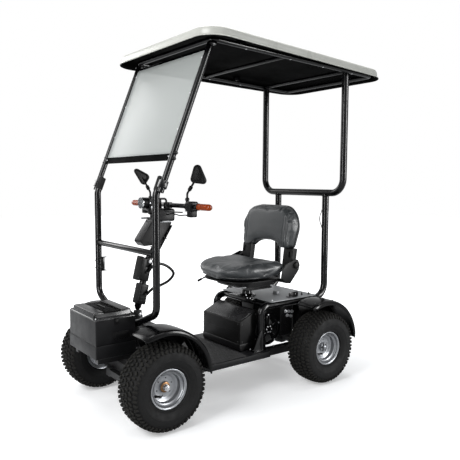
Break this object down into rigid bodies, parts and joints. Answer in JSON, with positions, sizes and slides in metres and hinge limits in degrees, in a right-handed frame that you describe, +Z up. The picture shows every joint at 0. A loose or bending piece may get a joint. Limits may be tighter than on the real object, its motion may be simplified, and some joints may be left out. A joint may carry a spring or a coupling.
{
  "type": "all-terrain mobility scooter",
  "caption": "Open mobility scooter for rough ground, with a canopy, a windscreen, a swivelling seat, a tilting tiller and turf tyres.",
  "frame": {"origin": "on the ground under the middle of the whole vehicle's box", "axes": "+Z up, the front faces -Y, the driver's left side is +X"},
  "size_m": [0.896, 1.645, 1.7468],
  "materials": {
    "black_powder_coat": "satin black powder coat",
    "black_plastic": "gloss black moulded plastic",
    "black_trim": "satin black moulded plastic",
    "charcoal_plastic": "fine-grained charcoal plastic",
    "battery_case": "plain dark battery case",
    "zinc_steel": "grey zinc plate",
    "silver_rim": "silver metallic paint",
    "tyre": "black-grey satin rubber",
    "roof_white": "off-white thermoformed sheet",
    "vinyl": "dark grey upholstery vinyl",
    "plate_grey": "light grey satin sheet",
    "amber": "translucent amber",
    "clear": "clear acrylic"
  },
  "bodies": {
    "chassis": {"chassis_frame": "black_powder_coat", "floor_pan": "charcoal_plastic", "front_axle": "zinc_steel", "rear_axle": "black_powder_coat", "battery_box": "charcoal_plastic", "battery_block": "battery_case", "front_hoop": "black_powder_coat", "windscreen_frame": "black_powder_coat", "windscreen_pane": "clear", "roof_shell": "roof_white", "roof_frame": "black_powder_coat", "rear_frame": "black_powder_coat", "deck_plate": "plate_grey", "seat_housing": "charcoal_plastic", "seat_pedestal": "black_powder_coat", "controller_box": "black_trim", "charger_box": "black_trim", "rear_fender_left": "black_plastic", "rear_fender_right": "black_plastic"},
    "steering_column": {"steering_column": "black_trim", "column_conduit": "black_trim"},
    "steering_shaft": {"steering_shaft": "zinc_steel"},
    "knuckle_left": {"knuckle_left": "zinc_steel", "front_fender_left": "black_plastic"},
    "knuckle_right": {"knuckle_right": "zinc_steel", "front_fender_right": "black_plastic"},
    "tie_rod": {"tie_rod": "zinc_steel"},
    "front_wheel_left": {"front_tyre_left": "tyre", "front_rim_left": "silver_rim"},
    "front_wheel_right": {"front_tyre_right": "tyre", "front_rim_right": "silver_rim"},
    "rear_wheel_left": {"rear_tyre_left": "tyre", "rear_rim_left": "silver_rim"},
    "rear_wheel_right": {"rear_tyre_right": "tyre", "rear_rim_right": "silver_rim"},
    "tiller": {"tiller": "black_trim", "handlebar": "black_trim", "headlamp": "black_plastic", "headlamp_glass": "clear", "bar_lamp_left": "amber", "bar_lamp_right": "amber", "mirror_left": "black_plastic", "mirror_right": "black_plastic"},
    "battery_lid": {"battery_lid": "charcoal_plastic"},
    "seat_swivel": {"seat_swivel": "black_powder_coat"},
    "seat": {"seat_pan": "black_trim", "seat_cushion": "vinyl"},
    "backrest": {"backrest_pad": "vinyl", "backrest_shell": "black_trim"}
  },
  "joints": [
    {"name": "steering_turn", "type": "hinge", "parent": "chassis", "child": "steering_column", "pos_m": [0, -0.5395, 0.47], "axis": [0, 0.2402, 0.9707], "range_deg": [-30, 30]},
    {"name": "shaft_turn", "type": "hinge", "parent": "chassis", "child": "steering_shaft", "pos_m": [0, -0.5395, 0.47], "axis": [0, 0, 1], "range_deg": [-30, 30]},
    {"name": "kingpin_left_turn", "type": "hinge", "parent": "chassis", "child": "knuckle_left", "pos_m": [0.225, -0.5965, 0.191], "axis": [0, 0, 1], "range_deg": [-30, 30]},
    {"name": "kingpin_right_turn", "type": "hinge", "parent": "chassis", "child": "knuckle_right", "pos_m": [-0.225, -0.5965, 0.191], "axis": [0, 0, 1], "range_deg": [-30, 30]},
    {"name": "tie_rod_turn", "type": "hinge", "parent": "knuckle_left", "child": "tie_rod", "pos_m": [0.225, -0.5165, 0.205], "axis": [0, 0, 1], "range_deg": [-30, 30]},
    {"name": "front_wheel_left_spin", "type": "hinge", "parent": "knuckle_left", "child": "front_wheel_left", "pos_m": [0.328, -0.5965, 0.191], "axis": [1, 0, 0], "continuous": true},
    {"name": "front_wheel_right_spin", "type": "hinge", "parent": "knuckle_right", "child": "front_wheel_right", "pos_m": [-0.328, -0.5965, 0.191], "axis": [1, 0, 0], "continuous": true},
    {"name": "rear_wheel_left_spin", "type": "hinge", "parent": "chassis", "child": "rear_wheel_left", "pos_m": [0.328, 0.3915, 0.191], "axis": [1, 0, 0], "continuous": true},
    {"name": "rear_wheel_right_spin", "type": "hinge", "parent": "chassis", "child": "rear_wheel_right", "pos_m": [-0.328, 0.3915, 0.191], "axis": [1, 0, 0], "continuous": true},
    {"name": "tiller_tilt", "type": "hinge", "parent": "steering_column", "child": "tiller", "pos_m": [0, -0.48506, 0.69], "axis": [-1, 0, 0], "range_deg": [0, 25]},
    {"name": "lid_open", "type": "hinge", "parent": "chassis", "child": "battery_lid", "pos_m": [0, -0.6275, 0.468], "axis": [-1, 0, 0], "range_deg": [0, 60]},
    {"name": "seat_turn", "type": "hinge", "parent": "chassis", "child": "seat_swivel", "pos_m": [0, 0.1425, 0.5], "axis": [0, 0, 1], "range_deg": [-90, 90]},
    {"name": "seat_shift", "type": "slide", "parent": "seat_swivel", "child": "seat", "axis": [0, 1, 0], "range_m": [-0.05, 0.05]},
    {"name": "back_fold", "type": "hinge", "parent": "seat", "child": "backrest", "pos_m": [0, 0.2825, 0.632], "axis": [1, 0, 0], "range_deg": [0, 60]}
  ],
  "couplings": [
    {"joint": "shaft_turn", "follows": "steering_turn", "ratio": 1},
    {"joint": "kingpin_left_turn", "follows": "steering_turn", "ratio": 1},
    {"joint": "kingpin_right_turn", "follows": "steering_turn", "ratio": 1},
    {"joint": "tie_rod_turn", "follows": "steering_turn", "ratio": -1}
  ]
}
